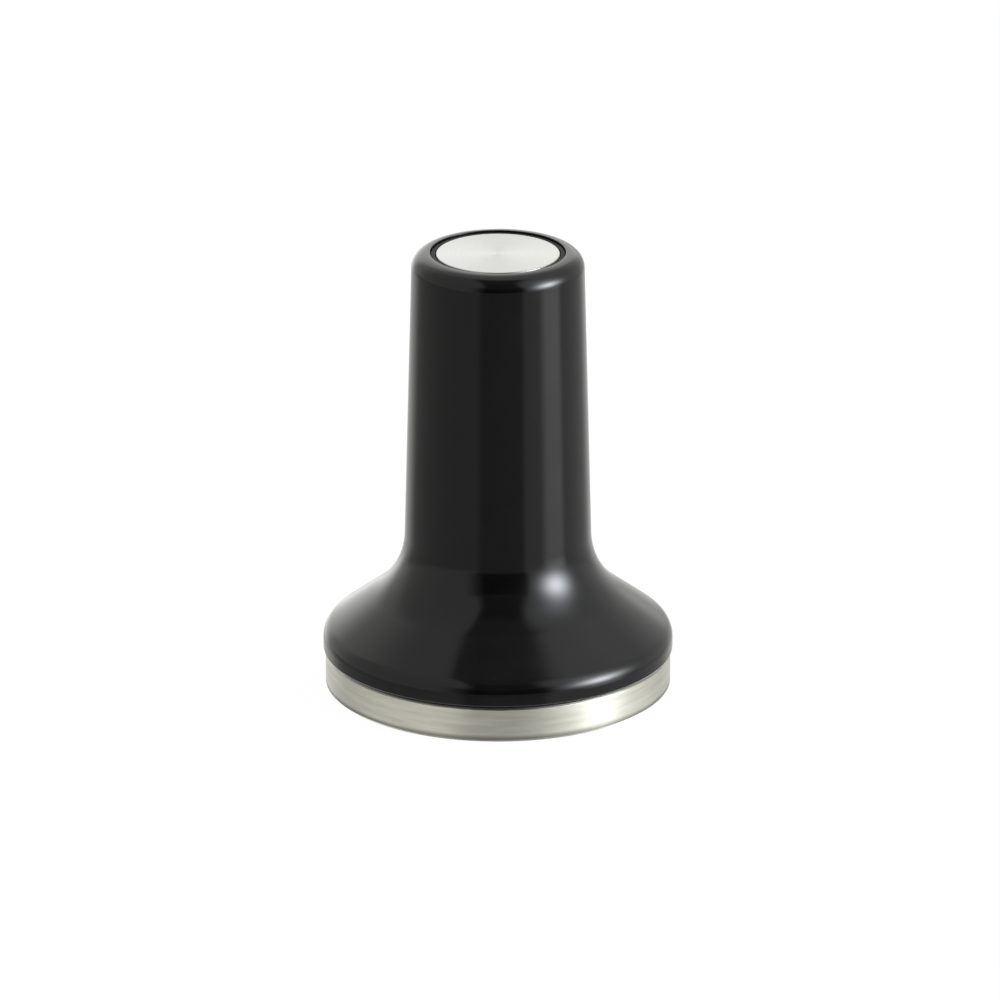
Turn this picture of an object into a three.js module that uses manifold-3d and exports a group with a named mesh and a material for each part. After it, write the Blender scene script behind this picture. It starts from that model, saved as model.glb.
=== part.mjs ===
// A hand press for clay: a flat steel foot, a flared black handle clamped on it by one long screw, and a
// steel inlay that closes the handle's top. Millimetres, +Z up. The origin is the pressing face's centre.
import * as THREE from "three";
import { mergeVertices } from "three/addons/utils/BufferGeometryUtils.js";
import Module from "manifold-3d";

const wasm = await Module();
wasm.setup();

// Driving dimensions, outside.
const footDiameter = 54;
const footThickness = 5.6;
const overallHeight = 70.8;
const skirtDiameter = 54.7; // the handle's widest part, just above the foot
const kneeHeight = 9; // where the skirt's line would meet the flare's
const flareAngle = 36.8; // degrees above horizontal
const kneeRadius = 3;
const neckRadius = 13;
const gripTopDiameter = 26.7;
const gripTaper = 0.0263; // radius gained per millimetre on the way down
const rimRadius = 2.6;
const inlayDiameter = 19.2;
const inlayTop = 70.6;

// Driving dimensions, inside.
const wall = 2.7; // the thickness of the handle's skin
const sealHeight = 0.35; // the line of gasket between foot and handle
const inlayBore = 21; // the bore in the handle's rim
const shoulderTop = 66.4; // the ledge in that bore, which the core hangs from
const shoulderDepth = 2.8;
const shoulderBore = 17.4;
const flangeThickness = 1.5;
const cupFloorTop = 57; // the floor that the screw's head pulls on
const cupFloorThickness = 3;
const bossTop = 14;
const bossAcrossFlats = 14;
const ribCount = 6;
const ribThickness = 1.6;
const padThickness = 0.4;
const slip = 0.3; // play round a piece that slides into its place
const snug = 0.1; // play round a piece that is pressed or screwed into its place
const overrun = 1; // how far a body that joins or cuts another runs into or past it

// An M6 x 55 socket head screw with its washers.
const screw = { radius: 2.95, length: 55, headRadius: 5, headHeight: 6, socketFlats: 5, socketDepth: 3.2 };
const flatWasher = { inner: 3.2, outer: 6, thickness: 1.6 };
const springWasher = { inner: 3.2, outer: 5.6, thickness: 1.6, gapAngle: 0.24 };

// Numbers of sides of the round pieces.
const largeSides = 72;
const smallSides = 36;
const arcStep = THREE.MathUtils.degToRad(15);

// Materials.
const glossBlack = { color: 0x0c0c0d, roughness: 0.12, metalness: 0 };
const brushedSteel = { color: 0xc4c1b8, roughness: 0.32, metalness: 1 };
const turnedSteel = { color: 0xd6d6d4, roughness: 0.3, metalness: 1 };
const platedSteel = { color: 0xa9abad, roughness: 0.35, metalness: 1 };
const blackRubber = { color: 0x0a0a0a, roughness: 0.85, metalness: 0 };
const greyNylon = { color: 0x3a3c3e, roughness: 0.6, metalness: 0 };
const whiteFoam = { color: 0xe6e4dc, roughness: 0.95, metalness: 0 };

// Sizes that follow from the driving dimensions.
const footRadius = footDiameter / 2;
const skirtRadius = skirtDiameter / 2;
const inlayRadius = inlayDiameter / 2;
const lipBottom = footThickness + sealHeight;
const flangeTop = shoulderTop + flangeThickness;
const headBottom = cupFloorTop + flatWasher.thickness + springWasher.thickness;
const screwHole = screw.radius + snug;
const sleeveBottom = bossTop + 2 * slip;

const vec = (r, z) => new THREE.Vector2(r, z);

// The point where the line through a and b meets the line through c and d.
function crossing(a, b, c, d) {
  const u = b.clone().sub(a);
  const v = d.clone().sub(c);
  const share = c.clone().sub(a).cross(v) / u.cross(v);
  return a.clone().addScaledVector(u, share);
}

// The corners of a path moved sideways by distance, to the left of its direction.
function offsetPath(corners, distance) {
  const lines = corners.slice(1).map((end, i) => {
    const along = end.clone().sub(corners[i]).normalize();
    const shift = vec(-along.y, along.x).multiplyScalar(distance);
    return [corners[i].clone().add(shift), end.clone().add(shift)];
  });
  const inner = lines.slice(1).map((line, i) => crossing(...lines[i], ...line));
  return [lines[0][0], ...inner, lines.at(-1)[1]];
}

// The points of a closed outline with corners [r, z, radius]. A corner that has a radius becomes an arc.
function outline(corners) {
  const points = [];
  corners.forEach(([r, z, radius], i) => {
    const corner = vec(r, z);
    if (!radius) {
      points.push(corner);
      return;
    }
    const before = vec(...corners.at(i - 1)).sub(corner).normalize();
    const after = vec(...corners[(i + 1) % corners.length]).sub(corner).normalize();
    const half = Math.acos(before.dot(after)) / 2;
    const centre = before.clone().add(after).normalize();
    centre.multiplyScalar(radius / Math.sin(half)).add(corner);
    const start = corner.clone().addScaledVector(before, radius / Math.tan(half)).sub(centre);
    const turn = Math.sign(after.cross(before)) * (Math.PI - 2 * half);
    const steps = Math.max(2, Math.ceil(Math.abs(turn) / arcStep));
    for (let k = 0; k <= steps; k++) {
      points.push(start.clone().rotateAround(vec(0, 0), (turn * k) / steps).add(centre));
    }
  });
  return [...points, points[0].clone()];
}

// A solid of revolution about Z. The points go up the outside, and back down the inside of a hollow one.
function turned(points, sides = largeSides) {
  return new THREE.LatheGeometry(points, sides).rotateX(Math.PI / 2);
}

// A ring of rectangular section.
function ring(inner, outer, bottom, top, sides = largeSides) {
  return turned(outline([[outer, bottom], [outer, top], [inner, top], [inner, bottom]]), sides);
}

function hexagonRadius(acrossFlats) {
  return acrossFlats / 2 / Math.cos(Math.PI / 6);
}

// An upright bar, round or with few sides.
function bar(radius, bottom, top, sides) {
  const height = top - bottom;
  return new THREE.CylinderGeometry(radius, radius, height, sides)
    .rotateX(Math.PI / 2)
    .translate(0, 0, bottom + height / 2);
}

function hexagonBar(acrossFlats, bottom, top) {
  return bar(hexagonRadius(acrossFlats), bottom, top, 6);
}

function solid(geometry) {
  const bare = geometry.clone();
  bare.deleteAttribute("normal");
  bare.deleteAttribute("uv");
  const merged = mergeVertices(bare, 1e-4);
  const vertProperties = merged.attributes.position.array;
  const triVerts = new Uint32Array(merged.index.array);
  return new wasm.Manifold(new wasm.Mesh({ numProp: 3, vertProperties, triVerts }));
}

function geometryOf(manifold) {
  const { vertProperties, triVerts } = manifold.getMesh();
  const geometry = new THREE.BufferGeometry();
  geometry.setAttribute("position", new THREE.BufferAttribute(vertProperties, 3));
  geometry.setIndex(new THREE.BufferAttribute(triVerts, 1));
  geometry.computeVertexNormals();
  return geometry;
}

const tool = new THREE.Group();

function add(name, geometry, look) {
  const mesh = new THREE.Mesh(geometry, new THREE.MeshStandardMaterial(look));
  mesh.name = name;
  tool.add(mesh);
}

// The foot: a turned disc with both edges broken and a round pocket on top for the boss.
const pocket = { radius: 5.15, floor: 2.4 };

function pressFoot() {
  const lowerChamfer = 0.4;
  const upperChamfer = 0.3;
  return turned([
    vec(0, 0),
    vec(footRadius - lowerChamfer, 0),
    vec(footRadius, lowerChamfer),
    vec(footRadius, footThickness - upperChamfer),
    vec(footRadius - upperChamfer, footThickness),
    vec(pocket.radius, footThickness),
    vec(pocket.radius, pocket.floor),
    vec(0, pocket.floor),
  ]);
}

// The boss: a tapped hexagonal nut whose round spigot is pressed into the foot. Its flats key the handle.
function footBoss() {
  const corner = hexagonRadius(bossAcrossFlats);
  const bevel = 0.8;
  const bevelledBar = [
    vec(0, footThickness),
    vec(corner, footThickness),
    vec(corner, bossTop - bevel),
    vec(corner - 2 * bevel, bossTop),
    vec(0, bossTop),
  ];
  const nut = solid(hexagonBar(bossAcrossFlats, footThickness, bossTop)).intersect(
    solid(turned(bevelledBar, smallSides)),
  );
  const spigot = bar(pocket.radius - snug, pocket.floor + snug, bossTop / 2, smallSides);
  const bore = bar(screwHole, 0, 2 * bossTop, smallSides);
  return geometryOf(nut.add(solid(spigot)).subtract(solid(bore)));
}

// The gasket that fills the seam between the foot and the handle's lip.
function footGasket() {
  const setBack = 0.4;
  return ring(skirtRadius - wall + slip, footRadius - setBack, footThickness, lipBottom);
}

// The sharp corners of the handle's outside, from its lip to its rim.
function handlePath() {
  const lip = vec(skirtRadius, lipBottom);
  const knee = vec(skirtRadius, kneeHeight);
  const rim = vec(gripTopDiameter / 2, overallHeight);
  const gripEnd = vec(rim.x + gripTaper * overallHeight, 0);
  const flare = THREE.MathUtils.degToRad(180 - flareAngle);
  const flareEnd = vec(knee.x + Math.cos(flare), knee.y + Math.sin(flare));
  return [lip, knee, crossing(rim, gripEnd, knee, flareEnd), rim];
}

// The handle's skin: open below, its corners rounded, with a shoulder inside the top for the core's flange.
function handleSkin() {
  const lipRadius = 0.2;
  const radii = [lipRadius, kneeRadius, neckRadius, rimRadius];
  const outside = handlePath().map((p, i) => [p.x, p.y, radii[i]]);
  const [lip, knee, neck, rim] = offsetPath(handlePath(), wall);
  const shoulderBottom = shoulderTop - shoulderDepth;
  const cavityTop = crossing(neck, rim, vec(0, shoulderBottom), vec(1, shoulderBottom));
  return outline([
    ...outside,
    [inlayBore / 2, overallHeight],
    [inlayBore / 2, shoulderTop],
    [shoulderBore / 2, shoulderTop],
    [shoulderBore / 2, shoulderBottom],
    [cavityTop.x, shoulderBottom],
    [neck.x, neck.y, neckRadius + wall],
    [knee.x, knee.y, kneeRadius - wall],
    [lip.x, lipBottom],
  ]);
}

// The hub that fits over the boss, and the ribs that tie it to the skin. They end halfway through the skin.
function handleWebs() {
  const hubRadius = 10.4;
  const bottom = lipBottom + 3 * slip;
  let webs = solid(ring(bossAcrossFlats / 2, hubRadius, bottom, sleeveBottom, smallSides));
  for (let i = 0; i < ribCount; i++) {
    const reach = skirtRadius - hubRadius;
    const rib = new THREE.BoxGeometry(reach, ribThickness, sleeveBottom - bottom);
    rib.translate(hubRadius - overrun + reach / 2, 0, (sleeveBottom + bottom) / 2);
    rib.rotateZ((i * 2 * Math.PI) / ribCount);
    webs = webs.add(solid(rib));
  }
  const [lip, knee, neck, rim] = offsetPath(handlePath(), wall / 2);
  const limit = turned([vec(0, lip.y), lip, knee, vec(neck.x, neck.y), vec(0, rim.y)]);
  return webs.intersect(solid(limit));
}

function handleShell() {
  const socket = solid(hexagonBar(bossAcrossFlats + 2 * slip, 0, bossTop + overrun));
  return geometryOf(solid(turned(handleSkin())).add(handleWebs()).subtract(socket));
}

// The core: a moulded sleeve that hangs from the shoulder by its flange. Its cup holds the screw's head.
function coreSleeve() {
  const cupOuter = 8.4;
  const cupInner = flatWasher.outer + slip;
  const tubeOuter = 6;
  const tubeInner = screw.radius + slip;
  const flangeRadius = inlayBore / 2 - snug;
  const cupBottom = cupFloorTop - cupFloorThickness;
  const points = [
    vec(tubeInner, sleeveBottom),
    vec(tubeOuter, sleeveBottom),
    vec(tubeOuter, cupBottom),
    vec(cupOuter, cupBottom + cupOuter - tubeOuter),
    vec(cupOuter, shoulderTop),
    vec(flangeRadius, shoulderTop),
    vec(flangeRadius, flangeTop),
    vec(cupInner, flangeTop),
    vec(cupInner, cupFloorTop),
    vec(tubeInner, cupFloorTop),
  ];
  return turned([...points, points[0].clone()]);
}

function tieScrew() {
  const { radius, length, headRadius, headHeight, socketFlats, socketDepth } = screw;
  const edge = 0.5;
  const tip = headBottom - length;
  const headTop = headBottom + headHeight;
  const points = [
    vec(0, tip),
    vec(radius - edge, tip),
    vec(radius, tip + edge),
    vec(radius, headBottom),
    vec(headRadius, headBottom),
    vec(headRadius, headTop - edge),
    vec(headRadius - edge, headTop),
    vec(0, headTop),
  ];
  const socket = hexagonBar(socketFlats, headTop - socketDepth, headTop + overrun);
  return geometryOf(solid(turned(points, smallSides)).subtract(solid(socket)));
}

function plainWasher() {
  const { inner, outer, thickness } = flatWasher;
  return ring(inner, outer, cupFloorTop, cupFloorTop + thickness, smallSides);
}

// The spring washer is a split ring, squeezed flat by the tightened screw.
function splitWasher() {
  const { inner, outer, thickness, gapAngle } = springWasher;
  const from = gapAngle / 2;
  const to = 2 * Math.PI - gapAngle / 2;
  const shape = new THREE.Shape();
  shape.absarc(0, 0, outer, from, to, false);
  shape.absarc(0, 0, inner, to, from, true);
  const options = { depth: thickness, bevelEnabled: false, curveSegments: smallSides };
  return new THREE.ExtrudeGeometry(shape, options).translate(0, 0, headBottom - thickness);
}

// The inlay, the foam tape under it, and the rubber ring that centres it in the handle's bore.
function topInlay() {
  const edge = 0.2;
  return turned([
    vec(0, flangeTop + padThickness),
    vec(inlayRadius, flangeTop + padThickness),
    vec(inlayRadius, inlayTop - edge),
    vec(inlayRadius - edge, inlayTop),
    vec(0, inlayTop),
  ]);
}

function inlayPad() {
  const setBack = 0.6;
  return bar(inlayRadius - setBack, flangeTop, flangeTop + padThickness, smallSides);
}

function inlayRing() {
  const recess = 0.1; // how far the ring lies below the inlay's face
  return ring(inlayRadius + snug, inlayBore / 2 - snug, flangeTop, inlayTop - recess);
}

add("press_foot", pressFoot(), brushedSteel);
add("foot_boss", footBoss(), platedSteel);
add("foot_gasket", footGasket(), blackRubber);
add("handle_shell", handleShell(), glossBlack);
add("core_sleeve", coreSleeve(), greyNylon);
add("flat_washer", plainWasher(), platedSteel);
add("spring_washer", splitWasher(), platedSteel);
add("tie_screw", tieScrew(), platedSteel);
add("inlay_pad", inlayPad(), whiteFoam);
add("inlay_ring", inlayRing(), blackRubber);
add("top_inlay", topInlay(), turnedSteel);

export default tool;
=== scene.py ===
import math

import bpy
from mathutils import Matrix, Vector


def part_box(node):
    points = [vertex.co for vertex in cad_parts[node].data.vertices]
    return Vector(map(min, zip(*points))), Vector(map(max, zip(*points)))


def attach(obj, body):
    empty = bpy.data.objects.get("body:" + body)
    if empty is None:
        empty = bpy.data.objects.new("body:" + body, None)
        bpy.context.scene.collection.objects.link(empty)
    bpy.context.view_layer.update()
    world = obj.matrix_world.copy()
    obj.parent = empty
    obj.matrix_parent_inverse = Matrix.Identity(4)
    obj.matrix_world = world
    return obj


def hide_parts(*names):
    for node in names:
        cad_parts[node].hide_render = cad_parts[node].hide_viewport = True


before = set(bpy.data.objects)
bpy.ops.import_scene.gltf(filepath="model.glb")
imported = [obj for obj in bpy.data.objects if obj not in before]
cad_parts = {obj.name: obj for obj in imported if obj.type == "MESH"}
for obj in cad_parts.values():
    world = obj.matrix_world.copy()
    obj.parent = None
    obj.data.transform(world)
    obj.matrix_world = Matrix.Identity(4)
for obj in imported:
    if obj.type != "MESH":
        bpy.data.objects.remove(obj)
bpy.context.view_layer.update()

# A hand press for clay: steel foot, flared gloss black handle, steel inlay in the top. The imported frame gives
# each piece's place and outer size, and the sizes below, in millimetres, give the shapes in between.
MM = 0.001

# Handle.
KNEE_HEIGHT = 9.0  # where the skirt's line would meet the flare's
FLARE_ANGLE = 36.8  # degrees above horizontal
KNEE_RADIUS = 3.0
NECK_RADIUS = 13.0
GRIP_TAPER = 0.0263  # radius gained per millimetre on the way down
GRIP_TOP_RADIUS = 13.35
RIM_RADIUS = 2.6
LIP_RADIUS = 0.2
WALL = 2.7
SHOULDER_TOP = 66.4  # the ledge inside the top that the core hangs from
SHOULDER_BOTTOM = 63.6
SHOULDER_BORE_RADIUS = 8.7
EDGE = 0.1  # radius on an edge that is only just broken

# Foot.
FOOT_LOWER_CHAMFER = 0.4
FOOT_UPPER_CHAMFER = 0.3
POCKET_RADIUS = 5.15
POCKET_FLOOR = 2.4
GASKET_INNER_RADIUS = 24.95

# Segments round a large piece, and the largest turn between two points of an arc.
SEGMENTS = 288
ARC_STEP = math.radians(4)


def crossing(a, b, c, d):
    """The point where the line through a and b meets the line through c and d."""
    u = b - a
    v = d - c
    share = (c - a).cross(v) / u.cross(v)
    return a + u * share


def offset_path(corners, distance):
    """The corners of a path moved sideways by distance, to the left of its direction."""
    lines = []
    for start, end in zip(corners, corners[1:]):
        along = (end - start).normalized()
        shift = Vector((-along.y, along.x)) * distance
        lines.append((start + shift, end + shift))
    inner = [crossing(*first, *second) for first, second in zip(lines, lines[1:])]
    return [lines[0][0], *inner, lines[-1][1]]


def rounded(corners):
    """The points of a closed outline with corners (r, z, radius), in which each radius becomes an arc."""
    points = []
    for i, (r, z, radius) in enumerate(corners):
        corner = Vector((r, z))
        if not radius:
            points.append(corner)
            continue
        before = (Vector(corners[i - 1][:2]) - corner).normalized()
        after = (Vector(corners[(i + 1) % len(corners)][:2]) - corner).normalized()
        half = before.angle(after) / 2
        centre = corner + (before + after).normalized() * (radius / math.sin(half))
        arm = corner + before * (radius / math.tan(half)) - centre
        turn = math.copysign(math.pi - 2 * half, after.cross(before))
        steps = max(3, math.ceil(abs(turn) / ARC_STEP))
        for k in range(steps + 1):
            angle = turn * k / steps
            turned_arm = Vector((
                arm.x * math.cos(angle) - arm.y * math.sin(angle),
                arm.x * math.sin(angle) + arm.y * math.cos(angle),
            ))
            points.append(centre + turned_arm)
    return points


def lathe(name, outline):
    """A closed body turned round Z from a closed outline of (r, z) points in millimetres."""
    on_axis = 1e-6
    verts = []
    rings = []
    for point in outline:
        if point.x < on_axis:
            rings.append([len(verts)] * SEGMENTS)
            verts.append((0.0, 0.0, point.y * MM))
            continue
        rings.append(list(range(len(verts), len(verts) + SEGMENTS)))
        for k in range(SEGMENTS):
            angle = 2 * math.pi * k / SEGMENTS
            verts.append((point.x * math.cos(angle) * MM, point.x * math.sin(angle) * MM, point.y * MM))
    faces = []
    for low, high in zip(rings, rings[1:] + rings[:1]):
        for k in range(SEGMENTS):
            after = (k + 1) % SEGMENTS
            corners = [low[k], low[after], high[after], high[k]]
            face = list(dict.fromkeys(corners))  # on the axis, two corners are one point
            if len(face) > 2:
                faces.append(face)
    mesh = bpy.data.meshes.new(name)
    mesh.from_pydata(verts, [], faces)
    mesh.validate()
    mesh.polygons.foreach_set("use_smooth", [True] * len(mesh.polygons))
    piece = bpy.data.objects.new(name, mesh)
    bpy.context.scene.collection.objects.link(piece)
    weighted = piece.modifiers.new("even_faces", "WEIGHTED_NORMAL")
    weighted.weight = 100  # the large faces alone decide
    return piece


def sizes(node):
    """A round node's outer radius, lowest and highest height, in millimetres."""
    low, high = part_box(node)
    return high.x / MM, low.z / MM, high.z / MM


# Node trees.


class Graph:
    """A node tree, with short calls to add and join nodes."""

    def __init__(self, tree):
        self.tree = tree

    def node(self, kind):
        return self.tree.nodes.new("ShaderNode" + kind)

    def feed(self, socket, value):
        """Join value to the socket, or set it there if it is a plain number or colour."""
        if isinstance(value, bpy.types.NodeSocket):
            self.tree.links.new(value, socket)
        else:
            socket.default_value = value

    def maths(self, operation, a, b=0.0):
        node = self.node("Math")
        node.operation = operation
        self.feed(node.inputs[0], a)
        self.feed(node.inputs[1], b)
        return node.outputs[0]

    def plus(self, a, b):
        return self.maths("ADD", a, b)

    def times(self, a, b):
        return self.maths("MULTIPLY", a, b)

    def spread(self, value, low, high, source=(0.3, 0.7), smooth=False):
        """The value, taken from its own range to the range low to high."""
        node = self.node("MapRange")
        node.interpolation_type = "SMOOTHSTEP" if smooth else "LINEAR"
        node.inputs["From Min"].default_value, node.inputs["From Max"].default_value = source
        node.inputs["To Min"].default_value = low
        node.inputs["To Max"].default_value = high
        self.feed(node.inputs["Value"], value)
        return node.outputs[0]

    def mix(self, share, low, high):
        """A colour between low and high by share. Each is a plain colour or another colour's socket."""
        node = self.node("Mix")
        node.data_type = "RGBA"
        self.feed(node.inputs["Factor"], share)
        for socket, colour in (("A", low), ("B", high)):
            self.feed(node.inputs[socket], (*colour, 1) if isinstance(colour, tuple) else colour)
        return node.outputs["Result"]


class Look(Graph):
    """A material."""

    def __init__(self, name):
        self.material = bpy.data.materials.new(name)
        self.material.use_nodes = True
        super().__init__(self.material.node_tree)
        self.shader = self.tree.nodes["Principled BSDF"]

    def set(self, socket, value):
        self.feed(self.shader.inputs[socket], value)

    def scaled(self, across, upright):
        """Object coordinates, scaled so that noise has about these many cells to a metre."""
        mapping = self.node("Mapping")
        mapping.inputs["Scale"].default_value = (across, across, upright)
        self.feed(mapping.inputs["Vector"], self.node("TexCoord").outputs["Object"])
        return mapping.outputs[0]

    def from_axis(self, outward, around):
        """The same, with cells counted outward from the axis and, more slowly, around it."""
        parts = self.node("SeparateXYZ")
        self.feed(parts.inputs[0], self.node("TexCoord").outputs["Object"])
        x, y = parts.outputs[:2]
        distance = self.maths("SQRT", self.plus(self.times(x, x), self.times(y, y)))
        joined = self.node("CombineXYZ")
        self.feed(joined.inputs[0], self.times(distance, outward))
        self.feed(joined.inputs[1], self.times(x, around))
        self.feed(joined.inputs[2], self.times(y, around))
        return joined.outputs[0]

    def height(self):
        parts = self.node("SeparateXYZ")
        self.feed(parts.inputs[0], self.node("TexCoord").outputs["Object"])
        return parts.outputs[2]

    def noise(self, vector, detail=4.0, roughness=0.5):
        node = self.node("TexNoise")
        node.inputs["Scale"].default_value = 1.0
        node.inputs["Detail"].default_value = detail
        node.inputs["Roughness"].default_value = roughness
        self.feed(node.inputs["Vector"], vector)
        return node.outputs["Fac"]

    def bump(self, height, distance):
        """Raise and lower the surface by up to distance, in metres."""
        node = self.node("Bump")
        node.inputs["Distance"].default_value = distance
        self.feed(node.inputs["Height"], height)
        self.set("Normal", node.outputs[0])

    def brushed_round_axis(self, strength):
        """Blur reflections across fine lines that run round the axis."""
        tangent = self.node("Tangent")
        tangent.direction_type = "RADIAL"
        tangent.axis = "Z"
        self.set("Tangent", tangent.outputs[0])
        self.set("Anisotropic", strength)
        self.set("Anisotropic Rotation", 0.25)


def gloss_black():
    look = Look("gloss_black")
    ripple = look.noise(look.scaled(60, 45), detail=1)
    haze = look.noise(look.scaled(240, 160), detail=5, roughness=0.6)
    look.set("IOR", 1.5)
    look.set("Base Color", look.mix(haze, (0.0035, 0.0035, 0.0037), (0.0065, 0.0065, 0.0068)))
    look.set("Roughness", look.spread(haze, 0.09, 0.15))
    look.bump(ripple, 0.00004)
    return look.material


def foot_steel():
    look = Look("foot_steel")
    lines = look.noise(look.scaled(40, 9000), detail=6, roughness=0.7)
    bands = look.noise(look.scaled(110, 1300), detail=3)
    look.set("Metallic", 1.0)
    look.brushed_round_axis(0.58)
    # Painted shade: the base colour darkens to black towards the bottom, standing in for the shadowed table
    # that the lowest band reflects.
    painted_table_shade = look.spread(look.height(), 0.42, 1, (0.6 * MM, 1.2 * MM))  # painted shade near the table
    tone = look.mix(look.spread(bands, 0, 1), (0.54, 0.53, 0.465), (0.68, 0.67, 0.59))
    look.set("Base Color", look.mix(painted_table_shade, (0, 0, 0), tone))
    look.set("Roughness", look.spread(lines, 0.29, 0.42))
    look.bump(lines, 0.000012)
    return look.material


def inlay_steel():
    look = Look("inlay_steel")
    lines = look.noise(look.from_axis(7000, 30), detail=5, roughness=0.6)
    look.set("Metallic", 1.0)
    look.brushed_round_axis(0.6)
    look.set("Base Color", look.mix(look.spread(lines, 0, 1), (0.48, 0.48, 0.47), (0.56, 0.56, 0.545)))
    look.set("Roughness", look.spread(lines, 0.24, 0.36))
    look.bump(lines, 0.000006)
    return look.material


def black_rubber():
    look = Look("black_rubber")
    grain = look.noise(look.scaled(2500, 2500), detail=3)
    look.set("Base Color", look.mix(grain, (0.004, 0.004, 0.004), (0.009, 0.009, 0.009)))
    look.set("Roughness", look.spread(grain, 0.6, 0.8))
    look.bump(grain, 0.00001)
    return look.material


def plated_steel():
    look = Look("plated_steel")
    clouds = look.noise(look.scaled(300, 300))
    look.set("Metallic", 1.0)
    look.set("Base Color", look.mix(clouds, (0.36, 0.38, 0.40), (0.5, 0.51, 0.52)))
    look.set("Roughness", look.spread(clouds, 0.25, 0.4))
    return look.material


def grey_nylon():
    look = Look("grey_nylon")
    grain = look.noise(look.scaled(1500, 1500))
    look.set("Base Color", look.mix(grain, (0.035, 0.038, 0.04), (0.055, 0.058, 0.06)))
    look.set("Roughness", look.spread(grain, 0.5, 0.68))
    look.bump(grain, 0.00001)
    return look.material


def foam_tape():
    look = Look("foam_tape")
    pores = look.noise(look.scaled(4000, 4000), detail=3)
    look.set("Base Color", look.mix(pores, (0.68, 0.66, 0.6), (0.82, 0.8, 0.74)))
    look.set("Roughness", look.spread(pores, 0.9, 1.0))
    look.bump(pores, 0.00003)
    return look.material


# Pieces.


def finish_piece(piece, node, material):
    piece.data.materials.clear()
    piece.data.materials.append(material)
    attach(piece, "root")
    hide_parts(node)


def handle():
    radius, bottom, top = sizes("handle_shell")
    lip = Vector((radius, bottom))
    knee = Vector((radius, KNEE_HEIGHT))
    rim = Vector((GRIP_TOP_RADIUS, top))
    grip_end = Vector((GRIP_TOP_RADIUS + GRIP_TAPER * top, 0))
    flare = math.radians(180 - FLARE_ANGLE)
    flare_end = knee + Vector((math.cos(flare), math.sin(flare)))
    path = [lip, knee, crossing(rim, grip_end, knee, flare_end), rim]
    radii = [LIP_RADIUS, KNEE_RADIUS, NECK_RADIUS, RIM_RADIUS]
    outside = [(p.x, p.y, r) for p, r in zip(path, radii)]
    inner_lip, inner_knee, inner_neck, inner_rim = offset_path(path, WALL)
    bore = sizes("inlay_ring")[0] + EDGE
    shelf = Vector((0, SHOULDER_BOTTOM))
    cavity_top = crossing(inner_neck, inner_rim, shelf, shelf + Vector((1, 0)))
    return lathe("handle", rounded([
        *outside,
        (bore, top, EDGE),
        (bore, SHOULDER_TOP, 0),
        (SHOULDER_BORE_RADIUS, SHOULDER_TOP, EDGE),
        (SHOULDER_BORE_RADIUS, SHOULDER_BOTTOM, EDGE),
        (cavity_top.x, SHOULDER_BOTTOM, EDGE),
        (inner_neck.x, inner_neck.y, NECK_RADIUS + WALL),
        (inner_knee.x, inner_knee.y, KNEE_RADIUS - WALL),
        (inner_lip.x, bottom, EDGE),
    ]))


def foot():
    radius, bottom, top = sizes("press_foot")
    return lathe("foot", rounded([
        (0, bottom, 0),
        (radius - FOOT_LOWER_CHAMFER, bottom, EDGE),
        (radius, bottom + FOOT_LOWER_CHAMFER, EDGE),
        (radius, top - FOOT_UPPER_CHAMFER, EDGE),
        (radius - FOOT_UPPER_CHAMFER, top, EDGE),
        (POCKET_RADIUS, top, EDGE),
        (POCKET_RADIUS, POCKET_FLOOR, EDGE),
        (0, POCKET_FLOOR, 0),
    ]))


def ring(name, node, inner):
    """A round node's ring, from the radius inner outwards, with its edges broken."""
    outer, bottom, top = sizes(node)
    return lathe(name, rounded([
        (outer, bottom, EDGE),
        (outer, top, EDGE),
        (inner, top, EDGE),
        (inner, bottom, EDGE),
    ]))


def inlay():
    radius, bottom, top = sizes("top_inlay")
    return lathe("inlay", rounded([
        (0, bottom, 0),
        (radius, bottom, EDGE),
        (radius, top, 2 * EDGE),
        (0, top, 0),
    ]))


rubber = black_rubber()
plated = plated_steel()
finish_piece(handle(), "handle_shell", gloss_black())
finish_piece(foot(), "press_foot", foot_steel())
gasket = ring("gasket", "foot_gasket", GASKET_INNER_RADIUS)
finish_piece(gasket, "foot_gasket", rubber)
finish_piece(inlay(), "top_inlay", inlay_steel())
inlay_seal = ring("inlay_seal", "inlay_ring", sizes("top_inlay")[0] + EDGE)
finish_piece(inlay_seal, "inlay_ring", rubber)

# The CAD nodes that stay, all of them inside the tool.
kept = {
    "foot_boss": plated,
    "flat_washer": plated,
    "spring_washer": plated,
    "tie_screw": plated,
    "core_sleeve": grey_nylon(),
    "inlay_pad": foam_tape(),
}
for name, material in kept.items():
    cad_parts[name].data.materials.clear()
    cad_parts[name].data.materials.append(material)


# Studio. It is given as brightness by direction, because gloss and steel mostly show reflections. Angles are
# in degrees. Azimuth 0 is towards the camera and grows towards +X, and elevation grows upwards.

ROOM_COLOUR = (1.0, 1.0, 0.98)
KEY_COLOUR = (1.0, 1.04, 1.12)
WALL_LEVEL = 0.8

# Each card is a brightness, then the low and high edge in azimuth with the softness of each, and the same in
# elevation. Later cards stand in front of earlier ones. Edges past 90 or 180 reach all the way.
WALLS = [
    (0.55, (-122, -20, 24, 20), (-99, 99, 8, 8)),  # left wall
    (0.65, (20, 145, 20, 20), (-99, 99, 8, 8)),  # right wall
    (0.8, (35, 135, 20, 20), (42, 88, 16, 8)),  # the right wall's bright top
    (1.4, (158, 200, 16, 10), (4, 45, 10, 16)),  # back wall, right of the middle
    (1.5, (-200, -148, 10, 20), (-14, 45, 8, 16)),  # back wall, left of the middle
    (0.36, (-134, -20, 24, 10), (-24, -6, 5, 6)),  # shade at the foot of the left wall
    (0.5, (30, 140, 10, 20), (-24, -6, 5, 6)),  # shade at the foot of the right wall
    (1.4, (60, 88, 14, 10), (-18.5, -6, 2, 6)),  # narrow strip light at the right
]
CEILING_LEVEL = 0.12
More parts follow.
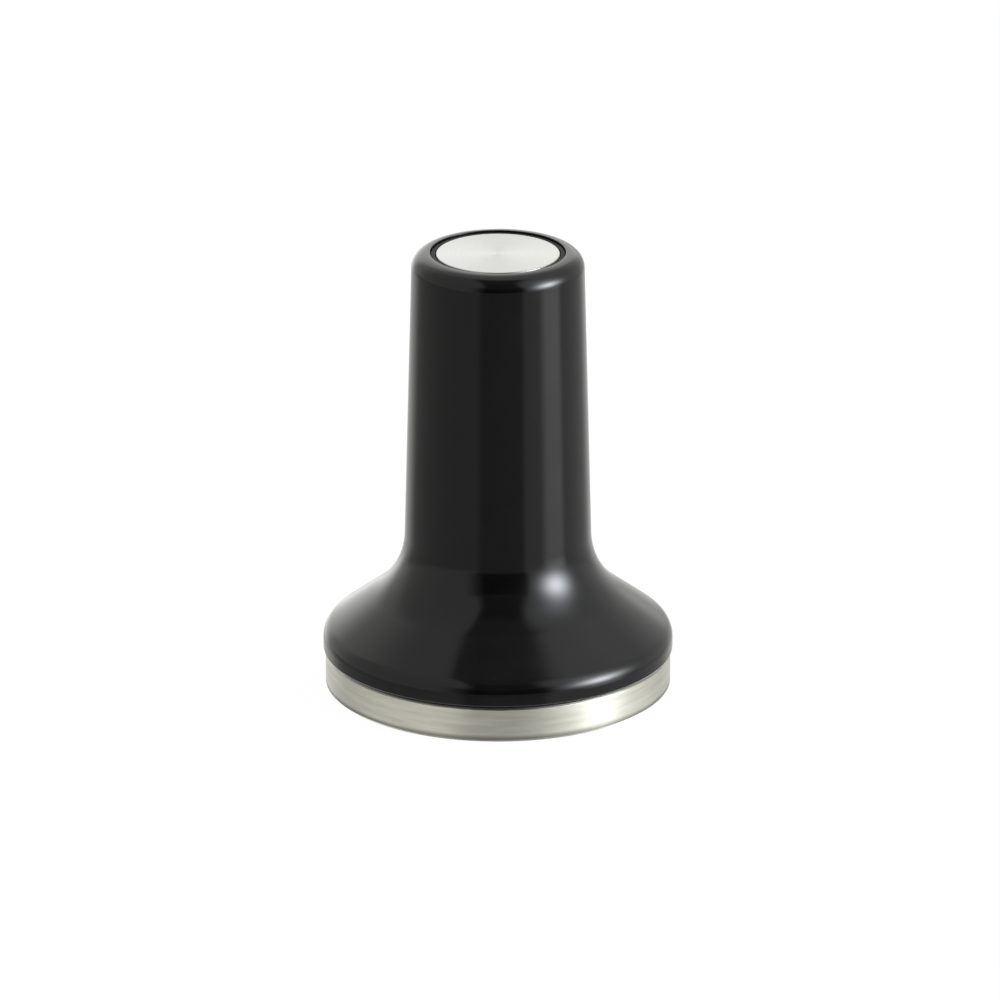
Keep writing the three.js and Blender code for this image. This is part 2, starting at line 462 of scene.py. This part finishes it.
CEILING_SIDES = (-0.28, 0.35, 0.06, 0.24)  # the ceiling's edges are straight, so it uses the direction's x
CEILING_HEIGHTS = (45, 100, 16, 8)
FRONT = [
    (0.05, (-22, 32, 14, 14), (26, 58, 6, 14)),  # dark above the camera
    (0.19, (-24, 33, 8, 8), (-25, -2, 6, 4)),  # grey below the camera
    (0.0, (-28, 36, 28, 12), (-4, 27, 3, 5)),  # black round the camera
    (2.0, (-400, -22, 10, 24), (-99, -30, 8, 12)),  # lit table at the left
    (1.75, (24, 400, 20, 10), (-99, -30, 8, 12)),  # lit table at the right
    (3.8, (115, 190, 24, 10), (-99, -30, 8, 12)),  # brighter table behind, at the right
    (1.2, (-22, 24, 24, 20), (-99, -30, 8, 12)),  # table in front
    (0.8, (-400, 400, 10, 10), (-99, -53, 8, 8)),  # table close round the tool
]

# The key light: its brightness, azimuth, elevation, width and height.
KEY_CORE = (15, 70, 13, 11, 9)
KEY_HALO = (1.6, 72, 34, 14, 10)


class Sky(Graph):
    """The world's node tree, with brightness as numbers that nodes work out from the direction."""

    def __init__(self):
        world = bpy.data.worlds.new("studio")
        bpy.context.scene.world = world
        world.use_nodes = True
        super().__init__(world.node_tree)
        parts = self.node("SeparateXYZ")
        self.feed(parts.inputs[0], self.node("TexCoord").outputs["Generated"])
        self.side, self.depth, up = parts.outputs
        nearness = self.times(self.depth, -1.0)
        self.azimuth = self.maths("DEGREES", self.maths("ARCTAN2", self.side, nearness))
        self.elevation = self.maths("DEGREES", self.maths("ARCSINE", up))

    def band(self, value, low, high, soft_low, soft_high):
        """One inside the range low to high and nothing outside it, with soft edges."""
        rise = self.spread(value, 0, 1, (low - soft_low / 2, low + soft_low / 2), smooth=True)
        fall = self.spread(value, 1, 0, (high - soft_high / 2, high + soft_high / 2), smooth=True)
        return self.times(rise, fall)

    def card(self, light, level, across, upright):
        """The light, changed to level where both masks are one."""
        mask = self.times(across, upright)
        return self.plus(self.times(light, self.maths("SUBTRACT", 1.0, mask)), self.times(mask, level))

    def cards(self, light, cards):
        for level, across, upright in cards:
            across_mask = self.band(self.azimuth, *across)
            light = self.card(light, level, across_mask, self.band(self.elevation, *upright))
        return light

    def ceiling(self, light):
        """A dark ceiling on the camera's side of the tool."""
        in_front = self.spread(self.depth, 1, 0, (-0.03, 0.06), smooth=True)
        across = self.times(in_front, self.band(self.side, *CEILING_SIDES))
        return self.card(light, CEILING_LEVEL, across, self.band(self.elevation, *CEILING_HEIGHTS))

    def glow(self, peak, azimuth, elevation, width, height):
        """A bell-shaped glow."""
        across = self.maths("DIVIDE", self.maths("SUBTRACT", self.azimuth, azimuth), width)
        upright = self.maths("DIVIDE", self.maths("SUBTRACT", self.elevation, elevation), height)
        squares = self.plus(self.times(across, across), self.times(upright, upright))
        return self.times(self.maths("EXPONENT", self.times(squares, -0.5)), peak)

    def coloured(self, light, colour):
        node = self.node("VectorMath")
        node.operation = "SCALE"
        node.inputs[0].default_value = colour
        self.feed(node.inputs["Scale"], light)
        return node.outputs[0]


def studio_light():
    sky = Sky()
    room = sky.cards(sky.ceiling(sky.cards(WALL_LEVEL, WALLS)), FRONT)
    key = sky.plus(sky.glow(*KEY_CORE), sky.glow(*KEY_HALO))
    both = sky.node("VectorMath")
    both.operation = "ADD"
    sky.feed(both.inputs[0], sky.coloured(room, ROOM_COLOUR))
    sky.feed(both.inputs[1], sky.coloured(key, KEY_COLOUR))
    seen_directly = sky.node("LightPath").outputs["Is Camera Ray"]
    backdrop = sky.mix(seen_directly, both.outputs[0], (1, 1, 1))  # the camera itself sees plain white
    sky.feed(sky.tree.nodes["Background"].inputs["Color"], backdrop)


def floor():
    """A plain white table. It throws no light back, because the studio's cards already hold its light."""
    half = 1.5  # metres
    mesh = bpy.data.meshes.new("floor")
    corners = [(-half, -half, 0), (half, -half, 0), (half, half, 0), (-half, half, 0)]
    mesh.from_pydata(corners, [], [(0, 1, 2, 3)])
    ground = bpy.data.objects.new("floor", mesh)
    bpy.context.scene.collection.objects.link(ground)
    look = Look("floor")
    look.set("Base Color", (0.03, 0.03, 0.03, 1))
    look.set("Roughness", 1.0)
    look.set("Specular IOR Level", 0.0)
    look.set("Emission Color", (1, 1, 1, 1))
    look.set("Emission Strength", 0.98)
    mesh.materials.append(look.material)
    ground.visible_glossy = False
    ground.visible_diffuse = False


def camera():
    elevation = math.radians(19.87)
    distance = 1500 * MM
    view_width = 155.7 * MM  # width of the picture at the tool's distance
    centre = Vector((0, 0, 35 * MM))
    drop = 4.70 * MM  # how far the picture's middle lies below that centre, and to its right
    right = 0.31 * MM
    data = bpy.data.cameras.new("camera")
    data.sensor_width = 36
    data.lens = data.sensor_width * distance / view_width
    data.clip_end = 10
    eye = bpy.data.objects.new("camera", data)
    bpy.context.scene.collection.objects.link(eye)
    eye.location = centre + distance * Vector((0, -math.cos(elevation), math.sin(elevation)))
    up = Vector((0, math.sin(elevation), math.cos(elevation)))
    aim = centre - drop * up + Vector((right, 0, 0))
    eye.rotation_euler = (aim - eye.location).to_track_quat("-Z", "Y").to_euler()
    bpy.context.scene.camera = eye


studio_light()
floor()
camera()
bpy.context.scene.view_settings.view_transform = "Standard"
